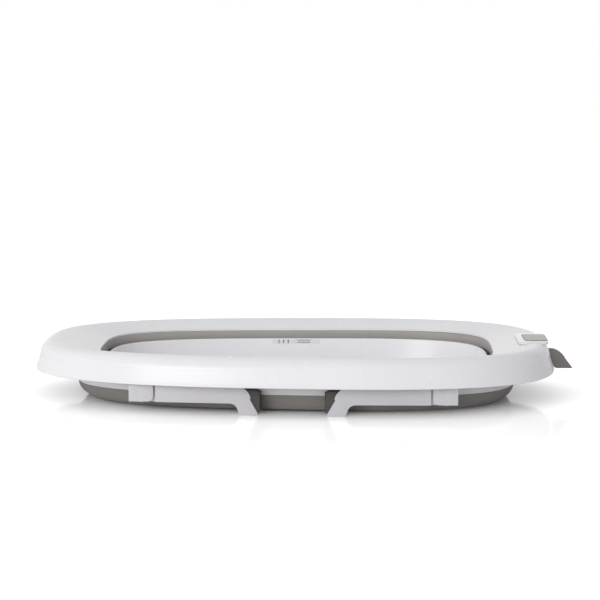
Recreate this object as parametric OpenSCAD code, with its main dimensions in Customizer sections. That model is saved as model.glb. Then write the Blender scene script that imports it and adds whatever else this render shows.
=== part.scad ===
// Collapsible baby bath with four fold-down legs, shown folded flat.
// Origin at the middle of the footprint, +X towards the thermometer end, +Z up.

/* [Rim] */
// Length of the rim over all
rim_len = 820; // [780:5:860]
// Width of the rim over all
rim_w = 484; // [478:2:520]
// Squareness of the rim outline, 2 is an ellipse
rim_n = 2.8; // [2.6:0.1:3.0]
// How much wider the thermometer end is than the other, as a share
egg_k = 0.081; // [0.05:0.001:0.1]
// Height of the crest of the rim above the floor, folded
rim_z = 89.3; // [88:0.5:92]
// Height of the lower edge of the rim
skirt_z = 45.6; // [44:0.2:48]
// Radius of the rounded outer top edge
rim_r = 21.8; // [18:0.2:22]
// Thickness of the rim shell
rim_t = 2.8; // [2:0.2:3.4]

/* [Opening] */
// Width of the rim top at each end, from the outline to the opening
end_ledge = 99; // [96:1:104]
// Width of the rim top at each side
side_ledge = 60; // [59:1:63]
// Drop from the crest to the edge of the opening
open_drop = 14.2; // [12:0.2:15]

/* [Fold] */
// Distance of the collar of the fold band from the rim outline, at each end
collar_end = 64; // [62:1:70]
// Distance of the collar from the rim outline, at each side
collar_side = 55.5; // [55:0.1:56]
// Height of the lower edge of the collar
collar_z = 26.4; // [25:0.2:30]
// Thickness of the flexible band
band_t = 2; // [1.6:0.1:2]
// How far the basin drops when the bath is opened
drop = 116; // [90:1:120]

/* [Basin] */
// Height of the top edge of the basin, folded
basin_z = 60.6; // [59.6:0.2:61]
// Height of the underside of the basin floor
floor_z = 5.6; // [5.6:0.1:6]
// Thickness of the basin wall
basin_t = 2.6; // [2:0.1:3]
// Distance of the drain from the right end of the opening
drain_end = 106; // [91:5:161]
// Radius of the drain hole in the floor
drain_r = 24; // [20:1:26]

/* [Legs] */
// Distance of the leg pins from the middle of the leg group, as a share of half the rim's length
pin_share = 0.561; // [0.551:0.005:0.586]
// Middle of the leg group from the middle of the rim
leg_cx = 4.5; // [0:0.5:8]
// Height of the leg pins
pin_z = 29.5; // [29:0.1:30]
// Leg length from pin to sole
leg_len = 182; // [176:1:184]
// Distance of the left hinges from the rim outline beside them
hinge_in_left = 24; // [23.2:0.1:25.6]
// Distance of the right hinges from the rim outline beside them
hinge_in_right = 28.5; // [26.9:0.1:29]
// Turn of the left legs in plan, which follows the egg shape of the rim
splay_left = 3; // [2.8:0.1:3.2]
// Width of a leg
leg_w = 25; // [24:0.5:25]
// Radius of a leg pin
pin_r = 4; // [3:0.5:5]

/* [Thermometer] */
// Length of the thermometer along the rim end
therm_l = 96; // [90:1:100]
// Width of the thermometer bezel
therm_w = 47; // [44:1:48]
// Top of the thermometer
therm_z = 91.5; // [91:0.5:93]

/* [Hook] */
// How far the hanging hook reaches past the rim
hook_reach = 33; // [30:1:36]
// Thickness of the hook
hook_t = 8; // [6:0.5:8]

/* [Hidden] */
seg = 80;
rim_a = rim_len / 2;
rim_b = rim_w / 2;
open_a = rim_a - end_ledge;
open_b = rim_b - side_ledge;
collar_a = rim_a - collar_end;
collar_b = rim_b - collar_side;
drain_x = open_a - drain_end;
pin_dx = rim_a * pin_share;
// Height of the bead along the lower edge of the skirt
bead = 0.8;
// The footprint is centred on X, so the rim stands half the hook's reach to one side.
rim_x = (bead - hook_reach) / 2;
lean = 5.8;
crest_d = lean + rim_r;
crest_z = rim_z - rim_r;
open_z = rim_z - open_drop;
open_x = 3.4;
well_k = 0.088;
well_n = 3.3;
// The lining hangs just outside the edge of the opening, the basin just inside it.
lining_a = open_a + 2.6;
lining_b = open_b + 1.8;
basin_a = open_a - 9.6;
basin_b = open_b - 10;
clear = 0.3;
tongue_w = leg_w - 10;
cheek_t = 5;
bracket_in = 17.5;
bracket_out = 19.6;
bracket_low = 11.2;
bracket_top = 69;
cheek_top = 52;
screw_in = 4;
boss_top = 86;
flange_t = 3;
therm_x = rim_a - 33;
therm_y = -4;
seat_z = 85.6;
pocket_l = therm_l - 16;
pocket_w = therm_w - 12;
pocket_z = 77;
hook_pin_x = rim_a - 11.3;
hook_pin_z = 67;
hook_pin_r = 2.5;
$fn = 48;

// Outlines and sweeps

function spow(v, e) = sign(v) * pow(abs(v), e);

function egg(a, b, n, k, xc) = [
    for (i = [0 : seg - 1])
        let (t = 360 * i / seg, x = spow(cos(t), 2 / n))
            [xc + a * x, b * spow(sin(t), 2 / n) * (1 + k * x)]
];

function ring_of(r, xc) = [
    for (i = [0 : seg - 1])
        let (t = 360 * i / seg)
            [xc + r * cos(t), r * sin(t)]
];

function inward(o) = [
    for (i = [0 : seg - 1])
        let (p = o[(i + 1) % seg] - o[(i + seg - 1) % seg])
            [-p.y, p.x] / norm(p)
];

// A profile point is [share of the way from outline a to outline b, inset, height].
module swept(profile, a, b) {
    m = len(profile);
    side = inward(a);
    points = [
        for (i = [0 : seg - 1])
            for (q = profile)
                let (p = a[i] * (1 - q[0]) + b[i] * q[0] + side[i] * q[1])
                    [p.x, p.y, q[2]]
    ];
    faces = [
        for (i = [0 : seg - 1])
            for (j = [0 : m - 1])
                let (
                    k = (j + 1) % m,
                    n = (i + 1) % seg,
                    c1 = i * m + j,
                    c2 = i * m + k,
                    c3 = n * m + k,
                    c4 = n * m + j
                )
                    each [[c1, c2, c3], [c1, c3, c4]]
    ];
    polyhedron(points = points, faces = faces, convexity = 6);
}

// Gives a path of profile points a thickness of w to each side.
function thick(path, w) =
    let (
        last = len(path) - 1,
        flat = [for (q = path) [12 * q[0] + q[1], q[2]]],
        side = [
            for (i = [0 : last])
                let (t = flat[min(i + 1, last)] - flat[max(i - 1, 0)])
                    [-t.y, t.x] / norm(t)
        ]
    )
        concat(
            [for (i = [0 : last]) path[i] + w * [0, side[i].x, side[i].y]],
            [for (i = [last : -1 : 0]) path[i] - w * [0, side[i].x, side[i].y]]
        );

// Half width of the rim at a place along it
function rim_y(x) =
    rim_b * pow(1 - pow(abs(x) / rim_a, rim_n), 1 / rim_n) * (1 + egg_k * x / rim_a);

rim_line = egg(rim_a, rim_b, rim_n, egg_k, 0);
open_line = egg(open_a, open_b, 3.66, 0.09, open_x);
collar_line = egg(collar_a, collar_b, 3.1, well_k, 2);
lining_line = egg(lining_a, lining_b, well_n, well_k, open_x);
basin_line = egg(basin_a, basin_b, well_n, well_k, open_x);

// Everything but the origin is laid out from the middle of the rim.
module placed() {
    translate([rim_x, 0, 0])
        children();
}

module rounded_rect(l, w, r) {
    square([l - 2 * r, w], center = true);
    square([l, w - 2 * r], center = true);
    for (x = [-1, 1])
        for (y = [-1, 1])
            translate([x * (l / 2 - r), y * (w / 2 - r)])
                circle(r);
}

module slab(l, w, r, z0, z1) {
    translate([0, 0, z0])
        linear_extrude(z1 - z0)
            rounded_rect(l, w, r);
}

// Rim and collar

function crest_arc(r) = [
    for (a = [15 : 25 : 90])
        [0, crest_d - r * cos(a), crest_z + r * sin(a)]
];

function rim_slope(down) = [
    for (s = [0.2, 0.45, 0.72])
        [s, crest_d * (1 - s), rim_z - open_drop * pow(s, 1.3) - down]
];

module rim_profile() {
    inner = rim_r - rim_t;
    over = crest_arc(rim_r);
    under = crest_arc(inner);
    top = rim_slope(0);
    below = rim_slope(rim_t);
    profile = concat(
        [[0, -bead, skirt_z], [0, -bead, skirt_z + 2.5], [0, 0.4, skirt_z + 5], [0, lean, crest_z]],
        over,
        top,
        [[1, 0.4, open_z + 0.2], [1, 0, open_z - 1], [1, 0, open_z - 2.2], [1, -3, open_z - 2.6]],
        [for (i = [2 : -1 : 0]) below[i]],
        [for (i = [3 : -1 : 0]) under[i]],
        [[0, lean + rim_t, crest_z], [0, rim_t, skirt_z]]
    );
    swept(profile, rim_line, open_line);
}

module rim_shell() {
    color("white")
        difference() {
            union() {
                placed()
                    rim_profile();
                at_therm(-4.4)
                    slab(pocket_w + 8, pocket_l + 12, 3, pocket_z - 2.5, seat_z - 0.2);
                each_screw()
                    cylinder(r = 5, h = boss_top - bracket_top);
            }
            at_therm()
                slab(therm_w + 1, therm_l + 1, 7, seat_z, rim_z + 5);
            at_therm(-4.4)
                slab(pocket_w, pocket_l, 3, pocket_z, rim_z + 5);
            each_screw()
                translate([0, 0, -1])
                    cylinder(r = 2, h = 14);
            placed()
                translate([rim_a - 16, -hook_t / 2 - 1, skirt_z - 5])
                    cube([20, hook_t + 2, hook_pin_z - skirt_z + 14]);
        }
}

module collar_ring() {
    wall = 1.8;
    top = open_z - 4;
    profile = [
        [0, 0, collar_z],
        [0, 0, top],
        [1, -0.3, top],
        [1, -0.3, top - 2.5],
        [0, wall, top - 2.5],
        [0, wall, collar_z]
    ];
    color("white")
        placed()
            swept(profile, collar_line, lining_line);
}

module lining_ring() {
    low = basin_z - 2.6;
    high = open_z - 2.6;
    profile = [[0, 0, low], [0, 0, high], [0, 1.6, high], [0, 1.6, low]];
    color([0.62, 0.6, 0.59])
        placed()
            swept(profile, lining_line, basin_line);
}

// Fold band and basin

// The band runs up the outside of the basin, under its flange, and rolls out to the collar.
module fold_band() {
    leg = -band_t / 2 - 0.4;
    grip = band_t / 2 + 0.2;
    path = [
        [1, leg, basin_z - 2],
        [1, leg, 40],
        [1, leg, 20],
        [1, leg, 9.5],
        [0.86, -0.6, 5.2],
        [0.66, 0.4, 4],
        [0.4, 1.2, 5.2],
        [0.18, 1.8, 9.5],
        [0.05, 1.6, 16],
        [0, grip, 22],
        [0, grip, collar_z - 0.05]
    ];
    color([0.5, 0.49, 0.48])
        placed()
            swept(thick(path, band_t / 2), collar_line, basin_line);
}

module basin() {
    w = basin_t;
    top = floor_z + 3;
    flange = basin_z - 1.8;
    profile = [
        [1, 0, floor_z],
        [0, 30, floor_z],
        [0, 24, floor_z + 0.5],
        [0, 18, floor_z + 2],
        [0, 13.4, floor_z + 5],
        [0, 10, floor_z + 9],
        [0, 7, 22],
        [0, 3, 42],
        [0, 0.2, flange],
        [0, -2.8, flange],
        [0, -2.8, basin_z],
        [0, 0.2 + w, basin_z],
        [0, 3 + w, 42],
        [0, 7 + w, 22.4],
        [0, 13.4, floor_z + 9.4],
        [0, 16.4, floor_z + 6.4],
        [0, 20.4, floor_z + 4.6],
        [0, 26, floor_z + 3.4],
        [0, 32, top],
        [1, 0, top]
    ];
    color("white")
        placed()
            difference() {
                swept(profile, basin_line, ring_of(12, drain_x));
                translate([drain_x, 0, 0])
                    cylinder(r = drain_r, h = 20);
            }
}

module drain_ring() {
    color([0.6, 0.59, 0.58])
        placed()
            translate([drain_x, 0, 0])
                rotate_extrude()
                    polygon([
                        [drain_r - 5, floor_z - 1.6],
                        [drain_r - 0.2, floor_z - 1.6],
                        [drain_r - 0.2, floor_z + 3],
                        [drain_r + 6, floor_z + 3],
                        [drain_r + 5, floor_z + 4.8],
                        [drain_r - 2, floor_z + 4.8],
                        [drain_r - 5, floor_z + 3]
                    ]);
}

module drain_plug() {
    r = drain_r - 5.4;
    color([0.55, 0.54, 0.53])
        placed()
            translate([drain_x, 0, 0])
                rotate_extrude()
                    polygon([
                        [0, floor_z - 0.6],
                        [r - 1, floor_z - 0.6],
                        [r, floor_z + 1],
                        [r, floor_z + 3.1],
                        [drain_r - 2.6, floor_z + 5.4],
                        [drain_r - 2.6, floor_z + 6.8],
                        [10, floor_z + 7.4],
                        [0, floor_z + 7.4]
                    ]);
}

module plug_loop() {
    base = floor_z + 6.8;
    color([0.55, 0.54, 0.53])
        placed()
            translate([drain_x, 0, base])
                difference() {
                    union() {
                        translate([0, 2.2, 9.6])
                            rotate([90, 0, 0])
                                cylinder(r = 9, h = 4.4);
                        translate([-9, -2.2, 0.6])
                            cube([18, 4.4, 9]);
                    }
                    translate([0, 4, 10])
                        rotate([90, 0, 0])
                            cylinder(r = 5.6, h = 8);
                }
}

module base_pads() {
    color([0.45, 0.44, 0.43])
        placed()
            for (p = [[-0.763, 0.465], [0, 0.669], [0.756, 0.512]])
                for (side = [-1, 1])
                    translate([p.x * basin_a, side * p.y * basin_b, 0])
                        rotate_extrude()
                            polygon([[0, 1.6], [9, 1.6], [11, floor_z - 1], [11, floor_z], [0, floor_z]]);
}

// Legs, drawn in their own plane: u runs from the pin to the sole, w is up when folded

function arc_points(cx, cy, r, a0, a1, n) = [
    for (i = [0 : n])
        let (a = a0 + (a1 - a0) * i / n)
            [cx + r * cos(a), cy + r * sin(a)]
];

leg_top = 14.5;
leg_low = -11.8;
shoulder = 26;
toe = -pin_z;

module leg_outline() {
    polygon(concat(
        [[shoulder, leg_low], [leg_len - 52, leg_low - 0.5]],
        arc_points(leg_len - 46, leg_low - 12.5, 12, 90, 20, 5),
        [[leg_len - 31.5, toe], [leg_len - 4.5, toe]],
        [[leg_len - 3.5, toe + 1], [leg_len - 4.2, toe + 4]],
        [[leg_len - 16.2, -4.6]],
        arc_points(leg_len - 37, -8.6, 23.1, 10, 88, 6),
        [[shoulder, leg_top]]
    ));
}

module leg_slot_outline() {
    polygon([
        [leg_len - 34, -9],
        [leg_len + 6, -9 - 12],
        [leg_len + 6, 30],
        [leg_len - 34, 30]
    ]);
}

module leg_body() {
    rotate([90, 0, 0])
        difference() {
            union() {
                linear_extrude(leg_w, center = true)
                    leg_outline();
                cylinder(r = 13, h = tongue_w, center = true);
                translate([0, leg_low, -tongue_w / 2])
                    cube([shoulder + 4, leg_top - leg_low - 1.5, tongue_w]);
            }
            cylinder(r = pin_r + 0.05, h = leg_w + 2, center = true);
            for (u = [shoulder + 8, shoulder + 42, shoulder + 76])
                translate([u, leg_low + 3, 2.4 - leg_w / 2])
                    cube([31, 40, leg_w - 4.8]);
            translate([0, 0, -leg_w / 2 + 2.4])
                linear_extrude(leg_w - 4.8)
                    polygon([
                        [leg_len - 37, 3],
                        [leg_len - 29, toe + 3.4],
                        [leg_len + 9, toe + 3.4],
                        [leg_len + 9, 30],
                        [leg_len - 37, 30]
                    ]);
        }
}

module foot_body() {
    rib = 2.2;
    rotate([90, 0, 0])
        difference() {
            translate([0, 0, -leg_w / 2 + 2.7])
                linear_extrude(leg_w - 5.4)
                    polygon([
                        [leg_len - 36.4, 3],
                        [leg_len - 28.4, toe + 3.8],
                        [leg_len - 2, toe + 3.8],
                        [leg_len, toe + 6],
                        [leg_len, 4],
                        [leg_len - 6, 7.5],
                        [leg_len - 36.4, 7.5]
                    ]);
            for (w = [toe + 9 : 5 : 1])
                translate([leg_len - 1.6, w, -leg_w])
                    cube([4, rib, 2 * leg_w]);
        }
}

// side is -1 for the near legs, end is -1 for the left ones. Local -Y points away from the bath.
module at_leg(side, end) {
    x = leg_cx + end * pin_dx;
    y = rim_y(x) - (end > 0 ? hinge_in_right : hinge_in_left);
    placed()
        translate([x, side * y, pin_z])
            rotate([0, 0, end > 0 ? 0 : side * splay_left])
                mirror([end > 0 ? 1 : 0, 0, 0])
                    mirror([0, side > 0 ? 1 : 0, 0])
                        children();
}

module leg(side, end) {
    color([0.86, 0.85, 0.87])
        at_leg(side, end)
            leg_body();
}

module foot(side, end) {
    color([0.4, 0.39, 0.38])
        at_leg(side, end)
            foot_body();
}

module pin(side, end) {
    h = tongue_w + 2 * cheek_t - 1;
    color("silver")
        at_leg(side, end)
            rotate([90, 0, 0])
                cylinder(r = pin_r, h = h, center = true);
}

module bracket(side, end) {
    gap = tongue_w + 1;
    full = gap + 2 * cheek_t;
    l = bracket_in + bracket_out;
    top = bracket_top - pin_z;
    narrow = 5;
    color([0.88, 0.87, 0.89])
        at_leg(side, end)
            difference() {
                union() {
                    translate([-bracket_in, -full / 2, -bracket_low])
                        cube([l, full, cheek_top - pin_z + bracket_low]);
                    translate([-bracket_in, -narrow, 0])
                        cube([l, narrow + full / 2, top]);
                    translate([-bracket_in - 14, -narrow, top - flange_t])
                        cube([l + 28, narrow + full / 2, flange_t]);
                }
                translate([-bracket_in + 2.6, -gap / 2, -bracket_low - 1])
                    cube([l, gap, bracket_low + 21]);
                rotate([90, 0, 0])
                    cylinder(r = pin_r, h = full + 2, center = true);
                at_screws()
                    translate([0, 0, -10])
                        cylinder(r = 2.1, h = 20);
                difference() {
                    translate([bracket_out - 9, -full, -bracket_low - 1])
                        cube([12, 2 * full, 10]);
                    translate([bracket_out - 9, 0, -bracket_low + 9])
                        rotate([90, 0, 0])
                            cylinder(r = 9, h = 2 * full + 2, center = true);
                }
            }
}

// The two screws of a bracket, from the top face of its flange.
module at_screws() {
    for (u = [-bracket_in - 8, bracket_out + 8])
        translate([u, screw_in, bracket_top - pin_z])
            children();
}

module each_screw() {
    for (side = [-1, 1])
        for (end = [-1, 1])
            at_leg(side, end)
                at_screws()
                    children();
}

module bracket_screws() {
    color("silver")
        each_screw() {
            translate([0, 0, -flange_t - 2])
                cylinder(r = 3.8, h = 2);
            translate([0, 0, -flange_t - 1])
                cylinder(r = 2, h = 14);
        }
}

// Hanging hook

module hook() {
    reach = rim_a + hook_reach;
    color([0.45, 0.44, 0.43])
        placed()
            rotate([90, 0, 0])
                difference() {
                    linear_extrude(hook_t, center = true)
                        polygon(concat(
                            [[hook_pin_x - 3, hook_pin_z + 5], [rim_a - 3, hook_pin_z + 6]],
                            arc_points(rim_a - 7, 41, hook_reach, 72, 26, 5),
                            [[reach - 1, 43.5], [reach, 42.4], [reach - 1, 41.4]],
                            [[rim_a + 8, 41.4]],
                            arc_points(rim_a + 8, 47.4, 6, 270, 180, 4),
                            [[hook_pin_x + 3, hook_pin_z - 6], [hook_pin_x - 3, hook_pin_z - 5]]
                        ));
                    translate([hook_pin_x, hook_pin_z, 0])
                        cylinder(r = hook_pin_r + 0.05, h = 20, center = true);
                }
}

module hook_pin() {
    color("silver")
        placed()
            translate([hook_pin_x, 0, hook_pin_z])
                rotate([90, 0, 0])
                    cylinder(r = hook_pin_r, h = hook_t + 7, center = true);
}

module hook_carrier() {
    gap = hook_t + 1;
    color("white")
        placed()
            translate([hook_pin_x, 0, hook_pin_z])
                difference() {
                    union() {
                        for (y = [-gap / 2 - 4, gap / 2])
                            translate([-7, y, -7])
                                cube([8.7, 4, 12]);
                        translate([-11, -gap / 2 - 12, -3])
                            cube([4.5, gap + 24, 8]);
                    }
                    rotate([90, 0, 0])
                        cylinder(r = hook_pin_r, h = 40, center = true);
                }
}

// Thermometer, a loose unit that lifts out of its pocket

module at_therm(dx = 0) {
    placed()
        translate([therm_x + dx, therm_y, 0])
            children();
}

body_l = pocket_l - 1;
body_w = pocket_w - 1;
body_z = pocket_z + 0.4;
door_screws = [6.5 - body_l / 2, body_l / 2 - 6.5];

module therm_housing() {
    color("white")
        difference() {
            union() {
                at_therm()
                    slab(therm_w, therm_l, 8, seat_z + 0.2, therm_z);
                at_therm(-4.4)
                    slab(body_w, body_l, 3, body_z, seat_z + 1);
            }
            at_therm(-4.4)
                slab(body_w - 4, body_l - 4, 2, body_z - 1, therm_z - 3.8);
            at_therm()
                slab(therm_w - 13, therm_l - 14, 5, therm_z - 2.6, therm_z + 1);
            at_therm(-1)
                slab(therm_w - 23, therm_l - 36, 2, therm_z - 6, therm_z + 1);
        }
}

module therm_lens() {
    color([0.7, 0.72, 0.68])
        at_therm()
            slab(therm_w - 13.4, therm_l - 14.4, 4.8, therm_z - 2.5, therm_z - 0.9);
}

module therm_display() {
    color([0.68, 0.7, 0.64])
        at_therm(-1)
            slab(therm_w - 23.4, therm_l - 36.4, 1.9, therm_z - 5.4, therm_z - 2.6);
}

module therm_board() {
    color("darkgreen")
        at_therm(-4.4)
            slab(body_w - 4.6, body_l - 4.6, 2, therm_z - 7, therm_z - 5.4);
}

module therm_cell() {
    color("silver")
        at_therm(-4.4)
            translate([0, body_l / 4, body_z + 2.2])
                cylinder(r = 10, h = 3.2);
}

module therm_door() {
    color([0.8, 0.8, 0.8])
        at_therm(-4.4)
            difference() {
                slab(body_w - 4.4, body_l - 4.4, 2, body_z, body_z + 2);
                for (y = door_screws)
                    translate([0, y, body_z - 1])
                        cylinder(r = 1.1, h = 4);
            }
}

module therm_screws() {
    color("silver")
        at_therm(-4.4)
            for (y = door_screws)
                translate([0, y, body_z + 0.2])
                    cylinder(r = 1, h = 6.4);
}

// Four of each leg piece

module bracket_near_left() {
    bracket(-1, -1);
}

module bracket_near_right() {
    bracket(-1, 1);
}

module bracket_far_left() {
    bracket(1, -1);
}

module bracket_far_right() {
    bracket(1, 1);
}

module pin_near_left() {
    pin(-1, -1);
}

module pin_near_right() {
    pin(-1, 1);
}

module pin_far_left() {
    pin(1, -1);
}

module pin_far_right() {
    pin(1, 1);
}

module leg_near_left() {
    leg(-1, -1);
}

module leg_near_right() {
    leg(-1, 1);
}

module leg_far_left() {
    leg(1, -1);
}

module leg_far_right() {
    leg(1, 1);
}

module foot_near_left() {
    foot(-1, -1);
}

module foot_near_right() {
    foot(-1, 1);
}

module foot_far_left() {
    foot(1, -1);
}

module foot_far_right() {
    foot(1, 1);
}

rim_shell();
collar_ring();
lining_ring();
fold_band();
basin();
drain_ring();
drain_plug();
plug_loop();
base_pads();
bracket_near_left();
bracket_near_right();
bracket_far_left();
bracket_far_right();
pin_near_left();
pin_near_right();
pin_far_left();
pin_far_right();
leg_near_left();
leg_near_right();
leg_far_left();
leg_far_right();
foot_near_left();
foot_near_right();
foot_far_left();
foot_far_right();
bracket_screws();
hook();
hook_pin();
hook_carrier();
therm_housing();
therm_lens();
therm_display();
therm_board();
therm_cell();
therm_door();
therm_screws();
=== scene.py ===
import bpy
import bmesh
from math import sin, cos, pi, radians
from mathutils import Vector, Matrix


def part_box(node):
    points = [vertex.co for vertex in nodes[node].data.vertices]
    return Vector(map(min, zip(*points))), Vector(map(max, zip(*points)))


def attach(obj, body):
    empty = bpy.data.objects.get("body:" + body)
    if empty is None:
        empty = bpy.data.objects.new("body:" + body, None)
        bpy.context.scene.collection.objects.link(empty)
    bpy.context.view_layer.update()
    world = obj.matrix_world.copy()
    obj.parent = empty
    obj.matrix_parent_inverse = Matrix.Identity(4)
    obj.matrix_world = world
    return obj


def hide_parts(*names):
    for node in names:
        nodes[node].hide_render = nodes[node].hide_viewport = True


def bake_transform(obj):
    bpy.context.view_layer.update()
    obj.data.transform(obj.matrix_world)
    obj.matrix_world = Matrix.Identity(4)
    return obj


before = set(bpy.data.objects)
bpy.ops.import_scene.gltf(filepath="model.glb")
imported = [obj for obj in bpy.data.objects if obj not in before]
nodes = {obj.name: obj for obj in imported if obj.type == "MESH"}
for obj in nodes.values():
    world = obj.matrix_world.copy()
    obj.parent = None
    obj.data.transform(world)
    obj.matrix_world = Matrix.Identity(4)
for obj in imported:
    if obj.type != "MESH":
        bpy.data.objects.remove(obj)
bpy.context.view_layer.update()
scene = bpy.context.scene

# Sizes are in millimetres and angles in degrees. Heights are above the floor, with the bath folded flat.
mm = 0.001


# Camera

camera = {
    "lens": 120,  # mm on a 36 mm sensor
    "turn": 1.95,  # towards the thermometer end
    "tilt": 7.34,
    "roll": 0.10,
    "distance": 3195,
    "aim": (-8.2, 0, 147.9),
}


def addCamera(c):
    turn, tilt, roll = (radians(c[k]) for k in ("turn", "tilt", "roll"))
    back = Vector((sin(turn) * cos(tilt), -cos(turn) * cos(tilt), sin(tilt)))
    right = Vector((cos(turn), sin(turn), 0))
    up = back.cross(right)
    rolledRight = cos(roll) * right + sin(roll) * up
    rolledUp = cos(roll) * up - sin(roll) * right
    data = bpy.data.cameras.new("camera")
    data.lens = c["lens"]
    data.sensor_width = 36
    data.clip_end = 50
    obj = bpy.data.objects.new("camera", data)
    place = Matrix((rolledRight, rolledUp, back)).transposed().to_4x4()
    place.translation = (Vector(c["aim"]) + back * c["distance"]) * mm
    obj.matrix_world = place
    scene.collection.objects.link(obj)
    scene.camera = obj


addCamera(camera)
print("camera placed")


# Materials

def colour(hexValue):
    parts = [int(hexValue[i:i + 2], 16) / 255 for i in (1, 3, 5)]
    return [p / 12.92 if p <= 0.04045 else ((p + 0.055) / 1.055) ** 2.4 for p in parts] + [1]


# Settings that name an input set it, others set the node. Links name an input with _ for a space.
def addNode(tree, kind, settings=None, **links):
    node = tree.nodes.new(kind)
    for key, value in (settings or {}).items():
        if key in node.inputs:
            node.inputs[key].default_value = value
        else:
            setattr(node, key, value)
    for key, source in links.items():
        tree.links.new(source, node.inputs[key.replace("_", " ")])
    return node


def setRamp(node, stops):
    elements = node.color_ramp.elements
    while len(elements) < len(stops):
        elements.new(0.5)
    for element, (at, value) in zip(elements, stops):
        element.position = at
        element.color = value
    return node.outputs["Color"]


def startMaterial(name):
    material = bpy.data.materials.new(name)
    material.use_nodes = True
    material.node_tree.nodes.clear()
    return material, material.node_tree


# A moulded polymer: a slow drift of tone and gloss, and a fine grain from the mould.
def mouldedMaterial(name, base, dark, rough, spread, grain, depth, patches=90, ior=1.49, coat=0.0):
    material, tree = startMaterial(name)
    place = addNode(tree, "ShaderNodeTexCoord").outputs["Object"]
    cloud = addNode(tree, "ShaderNodeTexNoise", {"Scale": 1 / (patches * mm), "Detail": 3.0}, Vector=place)
    fine = addNode(tree, "ShaderNodeTexNoise", {"Scale": 1 / (grain * mm), "Detail": 2.0}, Vector=place)
    tint = addNode(tree, "ShaderNodeValToRGB", Fac=cloud.outputs["Fac"])
    gloss = addNode(tree, "ShaderNodeMapRange", {"To Min": rough - spread, "To Max": rough + spread},
                    Value=cloud.outputs["Fac"])
    bump = addNode(tree, "ShaderNodeBump", {"Strength": 0.35, "Distance": depth * mm},
                   Height=fine.outputs["Fac"])
    shader = addNode(
        tree, "ShaderNodeBsdfPrincipled",
        {"IOR": ior, "Coat Weight": coat, "Coat Roughness": 0.06},
        Base_Color=setRamp(tint, [(0.3, colour(dark)), (0.7, colour(base))]),
        Roughness=gloss.outputs["Result"], Normal=bump.outputs["Normal"])
    addNode(tree, "ShaderNodeOutputMaterial", Surface=shader.outputs["BSDF"])
    return material


def metalMaterial(name, base, rough, scratch):
    material, tree = startMaterial(name)
    place = addNode(tree, "ShaderNodeTexCoord").outputs["Object"]
    lines = addNode(tree, "ShaderNodeTexNoise", {"Scale": 1 / (scratch * mm), "Detail": 2.0}, Vector=place)
    gloss = addNode(tree, "ShaderNodeMapRange", {"To Min": rough - 0.06, "To Max": rough + 0.08},
                    Value=lines.outputs["Fac"])
    shader = addNode(tree, "ShaderNodeBsdfPrincipled", {"Metallic": 1.0, "Base Color": colour(base)},
                     Roughness=gloss.outputs["Result"])
    addNode(tree, "ShaderNodeOutputMaterial", Surface=shader.outputs["BSDF"])
    return material


# Clear acrylic, moulded: it lets the display show through and carries the gloss of the window.
def clearMaterial(name, base, rough, opacity):
    material, tree = startMaterial(name)
    shader = addNode(tree, "ShaderNodeBsdfPrincipled",
                     {"Base Color": colour(base), "Roughness": rough, "IOR": 1.49, "Alpha": opacity})
    addNode(tree, "ShaderNodeOutputMaterial", Surface=shader.outputs["BSDF"])
    return material


materials = {
    # Polypropylene, moulded in a polished mould: an even white with a soft gloss.
    "whitePolypropylene": mouldedMaterial("whitePolypropylene", "#EFEEF1", "#ECEBEE", 0.27, 0.03, 1.4, 0.02),
    # Polypropylene for the legs, moulded with a fine grain: a cool light grey.
    "greyPolypropylene": mouldedMaterial("greyPolypropylene", "#D6D4D8", "#D0CED2", 0.42, 0.04, 0.9, 0.04),
    # Thermoplastic elastomer of the lining: a warm grey with a dull skin.
    "warmGreyElastomer": mouldedMaterial("warmGreyElastomer", "#AFABA8", "#A8A4A1", 0.55, 0.05, 0.8, 0.05),
    # Thermoplastic elastomer of the fold band, the lining's warm grey: its darker grey is painted shade from
    # under the rim.
    "shadedGreyElastomer": mouldedMaterial("shadedGreyElastomer", "#8F8B88", "#888481", 0.6, 0.05, 0.8, 0.05),
    # Moulded rubber of the feet and pads: nearly matt.
    "ribbedRubber": mouldedMaterial("ribbedRubber", "#585451", "#504C4A", 0.75, 0.06, 0.7, 0.08),
    # Acetal of the hook: the lining's warm grey with a waxy gloss, painted darker with the shade it hangs in.
    "shadedGreyAcetal": mouldedMaterial("shadedGreyAcetal", "#8C8885", "#86827F", 0.38, 0.04, 1.0, 0.03),
    # Acrylonitrile plastic of the thermometer bezel, moulded to a high gloss.
    "glossyAbs": mouldedMaterial("glossyAbs", "#EDECEB", "#EAE9E8", 0.12, 0.02, 1.5, 0.01, ior=1.53, coat=0.4),
    # Liquid crystal cell, unlit: a greenish grey film behind glass.
    "displayFilm": mouldedMaterial("displayFilm", "#BEBFB6", "#B8B9B0", 0.3, 0.03, 0.5, 0.005, patches=30),
    # Dark ink of the level mark and the window's mark; on the window's outline the same dark grey is painted
    # shade of the gap round the raised window.
    "printedInkAndEdgeShade": mouldedMaterial("printedInkAndEdgeShade", "#504E4D", "#4A4846", 0.45, 0.03, 0.4, 0.004, patches=12),
    # Fibreglass board with a green mask.
    "boardLaminate": mouldedMaterial("boardLaminate", "#1F6B3C", "#195A32", 0.4, 0.05, 0.5, 0.01, patches=10),
    # Zinc plated steel of pins, screws and cell.
    "platedSteel": metalMaterial("platedSteel", "#C9C9C7", 0.3, 0.6),
    # Acrylic window of the thermometer.
    "clearAcrylic": clearMaterial("clearAcrylic", "#C9CAC4", 0.08, 0.35),
    # Vinyl film of the level mark.
    "clearFilm": clearMaterial("clearFilm", "#F4F3F5", 0.2, 0.4),
}
print("materials made:", len(materials))


# Outlines: the plan of every ring is a squared oval, wider at the thermometer end

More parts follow.
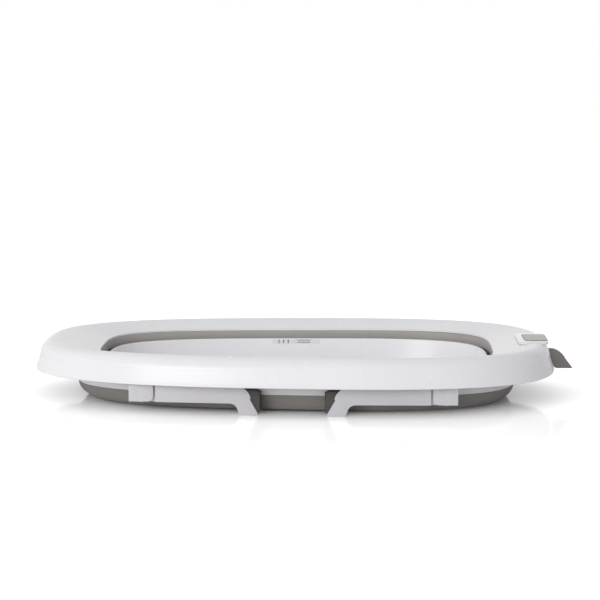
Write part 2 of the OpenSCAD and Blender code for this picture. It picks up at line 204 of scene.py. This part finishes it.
rimPlan = {"halfLength": 410, "halfWidth": 242, "square": 2.8, "egg": 0.081, "shift": 0}
openingPlan = {"halfLength": 311, "halfWidth": 182, "square": 3.66, "egg": 0.09, "shift": 3.4}
collarPlan = {"halfLength": 346, "halfWidth": 186.5, "square": 3.1, "egg": 0.088, "shift": 2}
liningPlan = {"halfLength": 313.6, "halfWidth": 183.8, "square": 3.3, "egg": 0.088, "shift": 3.4}
basinPlan = {"halfLength": 301.4, "halfWidth": 172, "square": 3.3, "egg": 0.088, "shift": 3.4}
rimCentre = -16.1  # the middle of the rim, from the middle of the footprint
around = 320  # points round each ring


def ovalPoint(plan, angle):
    c, s = cos(angle), sin(angle)
    x = abs(c) ** (2 / plan["square"]) * (1 if c >= 0 else -1)
    y = abs(s) ** (2 / plan["square"]) * (1 if s >= 0 else -1)
    return Vector((rimCentre + plan["shift"] + plan["halfLength"] * x,
                   plan["halfWidth"] * y * (1 + plan["egg"] * x)))


# Angles that space the points evenly along an outline.
def evenAngles(plan, count):
    fineCount = 8000
    places = [ovalPoint(plan, 2 * pi * i / fineCount) for i in range(fineCount + 1)]
    reached = [0.0]
    for a, b in zip(places, places[1:]):
        reached.append(reached[-1] + (b - a).length)
    angles, j = [], 0
    for i in range(count):
        target = reached[-1] * i / count
        while reached[j + 1] < target:
            j += 1
        share = (target - reached[j]) / max(reached[j + 1] - reached[j], 1e-9)
        angles.append(2 * pi * (j + share) / fineCount)
    return angles


ringAngles = evenAngles(rimPlan, around)


def planLine(plan):
    return [ovalPoint(plan, a) for a in ringAngles]


def inwardNormals(line):
    count = len(line)
    steps = [line[(i + 1) % count] - line[i - 1] for i in range(count)]
    return [Vector((-s.y, s.x)).normalized() for s in steps]


# A profile step is (share of the way to the second outline, inset, height).
def ringPoints(step, line, towards, normals):
    share, inset, height = step
    return [Vector((*(a.lerp(b, share) + n * inset), height)) * mm
            for a, b, n in zip(line, towards, normals)]


def arcSteps(inset, height, radius, start, end, count):
    angles = [radians(start + (end - start) * i / count) for i in range(count + 1)]
    return [(0, inset - radius * cos(a), height + radius * sin(a)) for a in angles]


# Sweeps a closed profile round the outline: a first loop is extruded step by step, back to its start.
def sweepRing(bm, profile, plan, otherPlan):
    line, towards = planLine(plan), planLine(otherPlan)
    normals = inwardNormals(line)
    ring = [bm.verts.new(p) for p in ringPoints(profile[0], line, towards, normals)]
    edges = [bm.edges.new((ring[i], ring[(i + 1) % around])) for i in range(around)]
    for step in profile[1:] + [profile[0]]:
        made = bmesh.ops.extrude_edge_only(bm, edges=edges)["geom"]
        fresh = {e.co.copy().freeze(): e for e in made if isinstance(e, bmesh.types.BMVert)}
        ring = [fresh[v.co.copy().freeze()] for v in ring]
        edges = [e for e in made if isinstance(e, bmesh.types.BMEdge)
                 and all(v in fresh.values() for v in e.verts)]
        for v, p in zip(ring, ringPoints(step, line, towards, normals)):
            v.co = p


def finishMesh(bm, name, material, body, replaced=(), sharp=32, merge=0.002, normals=True):
    bmesh.ops.remove_doubles(bm, verts=bm.verts, dist=merge * mm)
    if normals:
        bmesh.ops.recalc_face_normals(bm, faces=bm.faces)
    mesh = bpy.data.meshes.new(name)
    for face in bm.faces:
        face.smooth = True
    bm.to_mesh(mesh)
    bm.free()
    mesh.set_sharp_from_angle(angle=radians(sharp))
    obj = bpy.data.objects.new(name, mesh)
    scene.collection.objects.link(obj)
    mesh.materials.append(materials[material])
    if body:
        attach(obj, body)
    if replaced:
        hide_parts(*replaced)
    return obj


# Joins or cuts solids, each given as (object, "UNION" or "DIFFERENCE"), and removes them.
def combine(obj, others):
    for other, operation in others:
        modifier = obj.modifiers.new("combine", "BOOLEAN")
        modifier.object = other
        modifier.operation = operation
        modifier.solver = "EXACT"
    depsgraph = bpy.context.evaluated_depsgraph_get()
    mesh = bpy.data.meshes.new_from_object(obj.evaluated_get(depsgraph))
    obj.modifiers.clear()
    obj.data = mesh
    for other, _ in others:
        bpy.data.objects.remove(other)
    mesh.set_sharp_from_angle(angle=radians(32))
    smoothing = obj.modifiers.new("flatFaces", "WEIGHTED_NORMAL")
    smoothing.keep_sharp = True
    return obj


# A block with rounded upright edges, and its level edges rounded where edge is given.
def roundedBlock(bm, centre, size, corner, edge=0.0, segments=4):
    block = bmesh.new()
    made = bmesh.ops.create_cube(block, size=1)["verts"]
    bmesh.ops.scale(block, vec=Vector(size) * mm, verts=made)
    bmesh.ops.translate(block, vec=Vector(centre) * mm, verts=made)
    upright = [e for e in block.edges if abs(e.verts[0].co.z - e.verts[1].co.z) > 1e-6]
    bmesh.ops.bevel(block, geom=upright, offset=corner * mm, offset_type="OFFSET", segments=segments * 2,
                    profile=0.5, affect="EDGES", material=-1)
    if edge:
        level = [e for e in block.edges if abs(e.verts[0].co.z - e.verts[1].co.z) < 1e-7
                 and e.calc_face_angle(0) > radians(60)]
        bmesh.ops.bevel(block, geom=level, offset=edge * mm, offset_type="OFFSET", segments=segments,
                        profile=0.5, affect="EDGES", material=-1)
    bmesh.ops.recalc_face_normals(block, faces=block.faces)
    mesh = bpy.data.meshes.new("block")
    block.to_mesh(mesh)
    block.free()
    bm.from_mesh(mesh)
    bpy.data.meshes.remove(mesh)


def blockObject(centre, size, corner):
    bm = bmesh.new()
    roundedBlock(bm, centre, size, corner)
    mesh = bpy.data.meshes.new("cutter")
    bm.to_mesh(mesh)
    bm.free()
    obj = bpy.data.objects.new("cutter", mesh)
    scene.collection.objects.link(obj)
    return obj


# A copy of a CAD solid with its corners rounded as the mould or the tool leaves them. Edges within
# a radius of the keep axis stay sharp.
def softenedCopy(node, name, material, body, radius=0.6, angle=32, segments=3, keep=None):
    bm = bmesh.new()
    bm.from_mesh(nodes[node].data)
    bmesh.ops.remove_doubles(bm, verts=bm.verts, dist=0.003 * mm)
    bmesh.ops.dissolve_limit(bm, angle_limit=radians(1.5), verts=bm.verts, edges=bm.edges)
    edges = [e for e in bm.edges if len(e.link_faces) == 2 and e.calc_face_angle(0) > radians(angle)]
    if keep:
        edges = [e for e in edges
                 if any(Vector((v.co.x - keep[0], v.co.z - keep[1])).length > keep[2] for v in e.verts)]
    bmesh.ops.bevel(bm, geom=edges, offset=radius * mm, offset_type="OFFSET", segments=segments, profile=0.5,
                    affect="EDGES", clamp_overlap=True, material=-1)
    return finishMesh(bm, name, material, body, [node], normals=False)


def middle(node):
    low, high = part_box(node)
    return (Vector(low) + Vector(high)) / 2


# Rim

rim = {
    "crest": 89.3,
    "skirtEdge": 45.6,
    "cornerRadius": 21.8,
    "lean": 5.8,
    "thickness": 2.8,
    "openingDrop": 14.2,
    "bead": 0.8,
    "lipRadius": 1.3,
    "hookSlot": (386.9, 0, 63.0),
    "hookSlotSize": (20, 10, 36),
}

# The thermometer's place, from the middle of the footprint, and its height above the floor.
thermometer = {
    "x": 360.9,
    "y": -4,
    "width": 47,
    "length": 96,
    "corner": 8,
    "seat": 85.6,
    "top": 90.7,
    "pocketShift": -4.4,
    "pocketWidth": 35,
    "pocketLength": 80,
    "pocketFloor": 77,
    "bodyFloor": 77.4,
    "windowX": 365.6,
    "windowY": -6.5,
    "windowWidth": 37.5,
    "windowLength": 67,
    "windowCorner": 8,
    "windowTop": 91.45,
}


def rimSlope(r, drop, shares):
    crestInset = r["lean"] + r["cornerRadius"]
    return [(s, crestInset * (1 - s), r["crest"] - r["openingDrop"] * s ** 1.3 - drop) for s in shares]


def makeRim(r, t):
    crestInset = r["lean"] + r["cornerRadius"]
    centreHeight = r["crest"] - r["cornerRadius"]
    low, shell, lip = r["skirtEdge"], r["thickness"], r["lipRadius"]
    opening = r["crest"] - r["openingDrop"]
    shares = [0.06, 0.12, 0.2, 0.3, 0.4, 0.5, 0.6, 0.7, 0.8, 0.88, 0.94, 0.975]
    bead = [(0, 0.9, low), (0, 0.1, low + 0.1), (0, -0.55, low + 0.5), (0, -r["bead"], low + 1.2),
            (0, -0.75, low + 2.4), (0, -0.35, low + 3.4), (0, 0.25, low + 4.2)]
    wall = [(0, 0.25 + (r["lean"] - 0.25) * k / 5, low + 4.2 + (centreHeight - low - 4.2) * k / 5)
            for k in range(1, 5)]
    crest = arcSteps(crestInset, centreHeight, r["cornerRadius"], 0, 90, 16)
    top = rimSlope(r, 0, shares)
    edge = [(1, 0.5, opening + 0.12), (1, 0.05, opening - 0.25), (1, 0, opening - lip),
            (1, 0.3, opening - 2.2), (1, -1.2, opening - 2.7)]
    below = rimSlope(r, shell, shares[::-1][3::2])
    under = arcSteps(crestInset, centreHeight, r["cornerRadius"] - shell, 90, 0, 8)
    inside = [(0, shell + 0.4, low + 8), (0, shell - 0.4, low + 1), (0, shell - 0.9, low)]
    bm = bmesh.new()
    sweepRing(bm, bead + wall + crest + top + edge + below + under + inside, rimPlan, openingPlan)
    obj = finishMesh(bm, "rim", "whitePolypropylene", "rim", ["rim_shell"])
    pocketX = t["x"] + t["pocketShift"]
    floor, seat = t["pocketFloor"], t["seat"]
    return combine(obj, [
        (blockObject((pocketX, t["y"], (floor + seat) / 2 - 1.4),
                     (t["pocketWidth"] + 8, t["pocketLength"] + 12, seat - floor + 2.3), 3), "UNION"),
        (blockObject((t["x"], t["y"], seat + 5), (t["width"] + 1, t["length"] + 1, 10), 8), "DIFFERENCE"),
        (blockObject((pocketX, t["y"], floor + 7), (t["pocketWidth"], t["pocketLength"], 14), 3),
         "DIFFERENCE"),
        (blockObject(r["hookSlot"], r["hookSlotSize"], 0.6), "DIFFERENCE"),
    ])


makeRim(rim, thermometer)
print("rim made")


# Collar, lining, band and basin

collar = {"low": 26.4, "top": 71.1, "wall": 1.8}
lining = {"low": 58.0, "top": 72.5, "thickness": 1.6}
band = {"thickness": 2.0, "top": 58.6, "grip": 26.3, "lowest": 4.0, "gap": 0.4}
basin = {"top": 60.6, "floor": 5.6, "wall": 2.6, "drainX": 205, "drainRadius": 24}


def makeCollar(c):
    w, low, top = c["wall"], c["low"], c["top"]
    profile = [(0, 0.5, low), (0, 0.1, low + 0.15), (0, 0, low + 0.7), (0, 0, low + 20), (0, 0, top),
               (1, -0.3, top), (1, -0.3, top - 2.5), (0, w + 3, top - 2.5), (0, w + 0.8, top - 3.2),
               (0, w, top - 5.5), (0, w, low + 0.7), (0, w - 0.1, low + 0.15), (0, w - 0.5, low)]
    bm = bmesh.new()
    sweepRing(bm, profile, collarPlan, liningPlan)
    finishMesh(bm, "collar", "whitePolypropylene", "rim", ["collar_ring"])


def makeLining(c):
    t, low, top = c["thickness"], c["low"], c["top"]
    profile = [(0, 0, low + 0.6), (0, 0, top), (0, t - 0.4, top), (0, t - 0.05, top - 0.3), (0, t, top - 1),
               (0, t, low + 1), (0, t + 0.35, low + 0.7), (0, t + 0.5, low + 0.2), (0, t + 0.2, low - 0.3),
               (0, t - 0.4, low - 0.5), (0, 0.4, low - 0.4), (0, 0.05, low)]
    bm = bmesh.new()
    sweepRing(bm, profile, liningPlan, basinPlan)
    finishMesh(bm, "lining", "warmGreyElastomer", "rim", ["lining_ring"])


# Corners of a path are rounded by cutting them, more than once for a rounder path.
def rounded(path, times=2):
    for _ in range(times):
        cut = [path[0]]
        for a, b in zip(path, path[1:]):
            cut.append(tuple(p * 0.75 + q * 0.25 for p, q in zip(a, b)))
            cut.append(tuple(p * 0.25 + q * 0.75 for p, q in zip(a, b)))
        path = cut + [path[-1]]
    return path


# Gives a path a skin to each side.
def skins(path, half):
    flat = [Vector((14 * share + inset, height)) for share, inset, height in path]
    last = len(path) - 1
    sides = []
    for i in range(len(path)):
        step = (flat[min(i + 1, last)] - flat[max(i - 1, 0)]).normalized()
        sides.append(Vector((-step.y, step.x)) * half)
    outer = [(p[0], p[1] + s.x, p[2] + s.y) for p, s in zip(path, sides)]
    inner = [(p[0], p[1] - s.x, p[2] - s.y) for p, s in zip(path, sides)]
    return outer + inner[::-1]


# The outer half of the roll stays with the collar. The inner half, drawn down with the basin in the real bath,
# is attached to no body here.
def makeBand(b):
    half = b["thickness"] / 2
    leg, grip, low = -half - b["gap"], half + 0.2, b["lowest"]
    roll = [(0.62, 0.5, low), (0.54, 0.8, low), (0.4, 1.2, 5.2), (0.18, 1.8, 9.5), (0.05, 1.6, 16),
            (0, grip, 22), (0, grip, b["grip"])]
    rise = [(1, leg, b["top"]), (1, leg, 40), (1, leg, 20), (1, leg, 9.5), (0.86, -0.6, 5.2),
            (0.7, 0.25, low), (0.62, 0.5, low)]
    bm = bmesh.new()
    # The band takes the darker elastomer: painted shade under the rim overhang.
    sweepRing(bm, skins(rounded(roll), half), collarPlan, basinPlan)
    finishMesh(bm, "bandRoll", "shadedGreyElastomer", "rim", ["fold_band"])
    bm = bmesh.new()
    sweepRing(bm, skins(rounded(rise), half), collarPlan, basinPlan)
    wall = finishMesh(bm, "bandWall", "shadedGreyElastomer", None, ["fold_band"])
    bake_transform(wall)


def basinInside(b):
    w, low, top = b["wall"], b["floor"], b["top"]
    return [(0, w + 0.2, top - 0.9), (0, w + 1.2, top - 7), (0, w + 3, 42), (0, w + 7, 22.4),
            (0, 13.4, low + 9.4), (0, 16.4, low + 6.4), (0, 20.4, low + 4.6), (0, 26, low + 3.4),
            (0, 32, low + 3)]


def makeBasin(b):
    w, low, top = b["wall"], b["floor"], b["top"]
    flange = top - 1.8
    outside = [(0, 30, low), (0, 24, low + 0.5), (0, 18, low + 2), (0, 13.4, low + 5), (0, 10, low + 9),
               (0, 7, 22), (0, 3, 42), (0, 1.2, flange - 6), (0, 0.3, flange - 0.4)]
    lip = [(0, -0.4, flange), (0, -2.2, flange), (0, -2.7, flange + 0.4), (0, -2.8, flange + 0.9),
           (0, -2.7, top - 0.4), (0, -2.2, top - 0.05), (0, -1.2, top), (0, w - 0.9, top),
           (0, w - 0.2, top - 0.25)]
    drain = {"halfLength": b["drainRadius"], "halfWidth": b["drainRadius"], "square": 2, "egg": 0,
             "shift": b["drainX"]}
    shares = [0.25, 0.5, 0.75]
    bottom = [(s, 30 * (1 - s), low) for s in shares[::-1]]
    upper = [(s, 32 * (1 - s), low + 3) for s in shares]
    inside = rounded(basinInside(b), 1)
    profile = [(1, 0, low)] + bottom + rounded(outside, 1) + lip + inside + upper + [(1, 0, low + 3)]
    bm = bmesh.new()
    sweepRing(bm, profile, basinPlan, drain)
    finishMesh(bm, "basinShell", "whitePolypropylene", "basin", ["basin"])


makeCollar(collar)
makeLining(lining)
makeBand(band)
makeBasin(basin)
print("collar, lining, band and basin made")


# Level mark: ink on a clear film on the far wall of the basin. Places run along the wall and up it.

levelMark = {
    "film": (-60.0, 19.7, 52.0, 59.4),
    "waves": {"from": -18.4, "to": 4.2, "count": 3},
    "waveRows": ((58.0, 1.15), (54.3, 0.55)),
    "stroke": 0.95,
    "bars": (-49.1, -41.3, -33.5),
    "barLow": 52.9,
    "barHigh": 58.6,
}


# The inside of the far wall at a place along it and a height, and how far a print stands off it.
def wallPlace(x, height, off):
    steps = basinInside(basin)
    inset = steps[0][1]
    for (_, a, high), (_, b, low) in zip(steps, steps[1:]):
        if low <= height <= high:
            inset = a + (b - a) * (high - height) / (high - low)
    along = (x - rimCentre - basinPlan["shift"]) / basinPlan["halfLength"]
    bulge = (1 - abs(along) ** basinPlan["square"]) ** (1 / basinPlan["square"])
    y = basinPlan["halfWidth"] * bulge * (1 + basinPlan["egg"] * along) - inset
    return Vector((x, y - off, height)) * mm


def printStrip(bm, length, count, place):
    strip = bmesh.new()
    bmesh.ops.create_grid(strip, x_segments=count, y_segments=1, size=0.5)
    for v in strip.verts:
        v.co = place((v.co.x + 0.5) * length, v.co.y)
    mesh = bpy.data.meshes.new("strip")
    strip.to_mesh(mesh)
    strip.free()
    bm.from_mesh(mesh)
    bpy.data.meshes.remove(mesh)


def makeLevelMark(m):
    left, right, low, high = m["film"]
    bm = bmesh.new()
    printStrip(bm, right - left, 24, lambda s, side: wallPlace(
        left + s, (low + high) / 2 + side * (high - low), 0.1))
    finishMesh(bm, "levelFilm", "clearFilm", "basin", merge=0.001)
    waves = m["waves"]
    length = waves["to"] - waves["from"]
    bm = bmesh.new()
    for height, swing in m["waveRows"]:
        printStrip(bm, length, 48, lambda s, side, h=height, a=swing: wallPlace(
            waves["from"] + s,
            h - a * abs(sin(pi * waves["count"] * s / length)) * 2 + a + side * m["stroke"], 0.2))
    for x in m["bars"]:
        printStrip(bm, m["barHigh"] - m["barLow"], 8, lambda s, side, at=x: wallPlace(
            at + side * m["stroke"] * 1.6, m["barLow"] + s, 0.2))
    finishMesh(bm, "levelInk", "printedInkAndEdgeShade", "basin", merge=0.001)


makeLevelMark(levelMark)
print("level mark made")


# Legs and brackets

leg = {
    "edge": 1.0,
    "bracketEdge": 0.9,
    "footEdge": 0.35,
    "shoulder": 26,
    "shoulderMove": -3.2,
    "pinRadius": 4.0,
    "pinClear": 0.4,
    "coverPlace": 12.5,
    "coverDepth": 1.0,
}
turns = {"left": 3, "right": 0}  # the left legs follow the egg shape of the rim
corners = [(side, end) for side in ("near", "far") for end in ("left", "right")]


# Carries the shoulder of a leg closer to its bracket, as the narrow gap of the real one.
def moveShoulder(obj, side, end, l):
    pin = middle(f"pin_{side}_{end}")
    turn = radians(turns[end]) * (1 if side == "far" else -1)
    along = Vector((cos(turn), sin(turn), 0)) * (1 if end == "left" else -1)
    for v in obj.data.vertices:
        at = (v.co - pin).dot(along) / mm
        if l["shoulder"] - 0.01 < at < l["shoulder"] + l["edge"] + 0.01:
            v.co += along * l["shoulderMove"] * mm


# Cover of a pin hole in the outer cheek of a bracket, flush with it.
def makeCover(bm, side, end, l):
    pin = middle(f"pin_{side}_{end}")
    outward = -1 if side == "near" else 1
    turn = radians(turns[end]) * outward
    radius = l["pinRadius"] * mm
    place = (Matrix.Translation(pin) @ Matrix.Rotation(turn, 4, "Z")
             @ Matrix.Translation(Vector((0, outward * l["coverPlace"] * mm, 0)))
             @ Matrix.Rotation(pi / 2, 4, "X"))
    bmesh.ops.create_cone(bm, cap_ends=True, segments=48, radius1=radius, radius2=radius,
                          depth=l["coverDepth"] * mm, matrix=place)


def dress(node, material):
    nodes[node].data.materials.clear()
    nodes[node].data.materials.append(materials[material])


covers = bmesh.new()
for side, end in corners:
    key = f"{side}_{end}"
    body = f"leg_{key}"
    pin = middle(f"pin_{key}")
    shell = softenedCopy(f"leg_{key}", f"leg_shell_{key}", "greyPolypropylene", body, leg["edge"])
    moveShoulder(shell, side, end, leg)
    softenedCopy(f"foot_{key}", f"foot_block_{key}", "ribbedRubber", body, leg["footEdge"])
    softenedCopy(f"bracket_{key}", f"hinge_bracket_{key}", "greyPolypropylene", "rim", leg["bracketEdge"],
                 keep=(pin.x, pin.z, (leg["pinRadius"] + leg["pinClear"]) * mm))
    makeCover(covers, side, end, leg)
    dress(f"pin_{key}", "platedSteel")
finishMesh(covers, "pin_covers", "greyPolypropylene", "rim")
print("legs and brackets made")


# Thermometer

def makeThermometer(t):
    pocketX = t["x"] + t["pocketShift"]
    seat, top, low = t["seat"] + 0.2, t["top"], t["bodyFloor"]
    bm = bmesh.new()
    roundedBlock(bm, (t["x"], t["y"], (seat + top) / 2), (t["width"], t["length"], top - seat),
                 t["corner"], 1.3)
    case = finishMesh(bm, "thermometer_case", "glossyAbs", "thermometer", ["therm_housing"])
    combine(case, [
        (blockObject((pocketX, t["y"], (low + seat + 0.4) / 2),
                     (t["pocketWidth"] - 1, t["pocketLength"] - 1, seat + 0.4 - low), 3), "UNION"),
        (blockObject((pocketX, t["y"], low + 4), (t["pocketWidth"] - 5, t["pocketLength"] - 5, 12.6), 2),
         "DIFFERENCE"),
    ])
    place = (t["windowX"], t["windowY"])
    frameTop = t["windowTop"] - 0.25
    # The dark frame round the display is painted shade of the gap at the window's edge.
    bm = bmesh.new()
    roundedBlock(bm, (*place, (top - 1 + frameTop) / 2),
                 (t["windowWidth"], t["windowLength"], frameTop - top + 1), t["windowCorner"], 0.2)
    finishMesh(bm, "window_frame", "printedInkAndEdgeShade", "thermometer")
    film = frameTop + 0.04
    bm = bmesh.new()
    roundedBlock(bm, (*place, film - 0.1), (t["windowWidth"] - 2.4, t["windowLength"] - 2.4, 0.24),
                 t["windowCorner"] - 1.2)
    finishMesh(bm, "window_display", "displayFilm", "thermometer", ["therm_display"])
    bm = bmesh.new()
    roundedBlock(bm, (*place, (film + t["windowTop"]) / 2 + 0.03),
                 (t["windowWidth"] - 0.8, t["windowLength"] - 0.8, t["windowTop"] - film - 0.03),
                 t["windowCorner"] - 0.4)
    finishMesh(bm, "window_lens", "clearAcrylic", "thermometer", ["therm_lens"])
    bm = bmesh.new()
    bmesh.ops.create_circle(bm, segments=40, radius=2.6 * mm, cap_ends=False)
    ring = list(bm.edges)
    made = bmesh.ops.extrude_edge_only(bm, edges=ring)["geom"]
    inner = [e for e in made if isinstance(e, bmesh.types.BMVert)]
    bmesh.ops.scale(bm, vec=(0.78, 0.78, 1), verts=inner)
    bmesh.ops.translate(bm, vec=Vector((place[0] - 12.5, place[1] - 2, film + 0.06)) * mm, verts=bm.verts)
    finishMesh(bm, "window_mark", "printedInkAndEdgeShade", "thermometer", merge=0.001)


makeThermometer(thermometer)
print("thermometer made")


# Small parts

softenedCopy("drain_ring", "drain_seat", "warmGreyElastomer", "basin", 0.4)
softenedCopy("drain_plug", "plug_body", "warmGreyElastomer", "plug", 0.4)
softenedCopy("plug_loop", "plug_pull", "warmGreyElastomer", "plug", 0.5)
softenedCopy("base_pads", "floor_pads", "ribbedRubber", "basin", 0.5)
# The hook's darker grey is painted shade.
softenedCopy("hook", "hanging_hook", "shadedGreyAcetal", "hook", 0.8)
softenedCopy("hook_carrier", "hook_mount", "whitePolypropylene", "rim", 0.4)
softenedCopy("therm_door", "therm_rear_door", "greyPolypropylene", "thermometer", 0.3)
dress("therm_board", "boardLaminate")
for node in ("bracket_screws", "hook_pin", "therm_cell", "therm_screws"):
    dress(node, "platedSteel")
print("small parts made")


# Floor, backdrop and light

studio = {
    "floorSize": 16,  # m
    "floorGloss": 0.07,
    "glow": 0.4,
    "shadowOvalHalfLength": 0.43,  # m, the glow keeps out of an oval under the bath, which paints a darker shadow on the floor there
    "shadowOvalHalfWidth": 0.22,
    "skyLow": 1.0,
    "skyTop": 0.72,
    "skyRight": 0.5,
}


def makeFloor(s):
    material, tree = startMaterial("glossyTableTop")
    place = addNode(tree, "ShaderNodeTexCoord").outputs["Object"]
    # The camera glow fades to nothing in an oval under the bath: painted shadow on the floor.
    shrink = (1 / s["shadowOvalHalfLength"], 1 / s["shadowOvalHalfWidth"], 0)
    oval = addNode(tree, "ShaderNodeVectorMath", {"operation": "MULTIPLY"})
    tree.links.new(place, oval.inputs[0])
    oval.inputs[1].default_value = shrink
    radius = addNode(tree, "ShaderNodeVectorMath", {"operation": "LENGTH"})
    tree.links.new(oval.outputs[0], radius.inputs[0])
    fade = addNode(tree, "ShaderNodeMapRange",
                   {"From Min": 0.7, "From Max": 1.25, "To Min": 0.0, "To Max": s["glow"],
                    "interpolation_type": "SMOOTHSTEP"}, Value=radius.outputs["Value"])
    path = addNode(tree, "ShaderNodeLightPath")
    seen = addNode(tree, "ShaderNodeMath", {"operation": "MULTIPLY"})
    tree.links.new(path.outputs["Is Camera Ray"], seen.inputs[0])
    tree.links.new(fade.outputs["Result"], seen.inputs[1])
    glow = addNode(tree, "ShaderNodeEmission", {"Color": colour("#FFFFFF")}, Strength=seen.outputs[0])
    top = addNode(tree, "ShaderNodeBsdfPrincipled",
                  {"Base Color": colour("#FFFFFF"), "Roughness": s["floorGloss"], "IOR": 1.3})
    both = addNode(tree, "ShaderNodeAddShader")
    tree.links.new(top.outputs[0], both.inputs[0])
    tree.links.new(glow.outputs[0], both.inputs[1])
    addNode(tree, "ShaderNodeOutputMaterial", Surface=both.outputs[0])
    bm = bmesh.new()
    bmesh.ops.create_grid(bm, x_segments=1, y_segments=1, size=s["floorSize"] / 2)
    mesh = bpy.data.meshes.new("floor")
    bm.to_mesh(mesh)
    bm.free()
    mesh.materials.append(material)
    floor = bpy.data.objects.new("floor", mesh)
    floor.location.z = -0.0002
    scene.collection.objects.link(floor)


def makeSky(s):
    world = bpy.data.worlds.new("studio")
    world.use_nodes = True
    scene.world = world
    tree = world.node_tree
    tree.nodes.clear()
    path = addNode(tree, "ShaderNodeLightPath")
    place = addNode(tree, "ShaderNodeTexCoord").outputs["Generated"]
    parts = addNode(tree, "ShaderNodeSeparateXYZ", Vector=place)
    height = addNode(tree, "ShaderNodeMapRange",
                     {"From Min": 0.15, "From Max": 0.6, "To Min": s["skyLow"], "To Max": s["skyTop"]},
                     Value=parts.outputs["Z"])
    across = addNode(tree, "ShaderNodeMapRange",
                     {"From Min": 0.1, "From Max": 0.9, "To Min": 1.0, "To Max": s["skyRight"]},
                     Value=parts.outputs["X"])
    level = addNode(tree, "ShaderNodeMath", {"operation": "MULTIPLY"})
    tree.links.new(height.outputs["Result"], level.inputs[0])
    tree.links.new(across.outputs["Result"], level.inputs[1])
    seen = addNode(tree, "ShaderNodeMath", {"operation": "MAXIMUM"})
    tree.links.new(path.outputs["Is Camera Ray"], seen.inputs[0])
    tree.links.new(level.outputs[0], seen.inputs[1])
    background = addNode(tree, "ShaderNodeBackground", {"Color": colour("#FFFFFF")}, Strength=seen.outputs[0])
    addNode(tree, "ShaderNodeOutputWorld", Surface=background.outputs[0])


lamps = {
    "key": {"at": (-1.5, -3.0, 0.95), "aim": (0, 0, 0.05), "size": 1.5, "power": 32},
}


def makeLamp(name, s):
    data = bpy.data.lights.new(name, "AREA")
    data.size = s["size"]
    data.energy = s["power"]
    obj = bpy.data.objects.new(name, data)
    obj.location = s["at"]
    obj.rotation_euler = (Vector(s["aim"]) - Vector(s["at"])).to_track_quat("-Z", "Y").to_euler()
    scene.collection.objects.link(obj)


makeFloor(studio)
makeSky(studio)
for name, lamp in lamps.items():
    makeLamp(name, lamp)
scene.view_settings.view_transform = "Standard"
print("studio made")
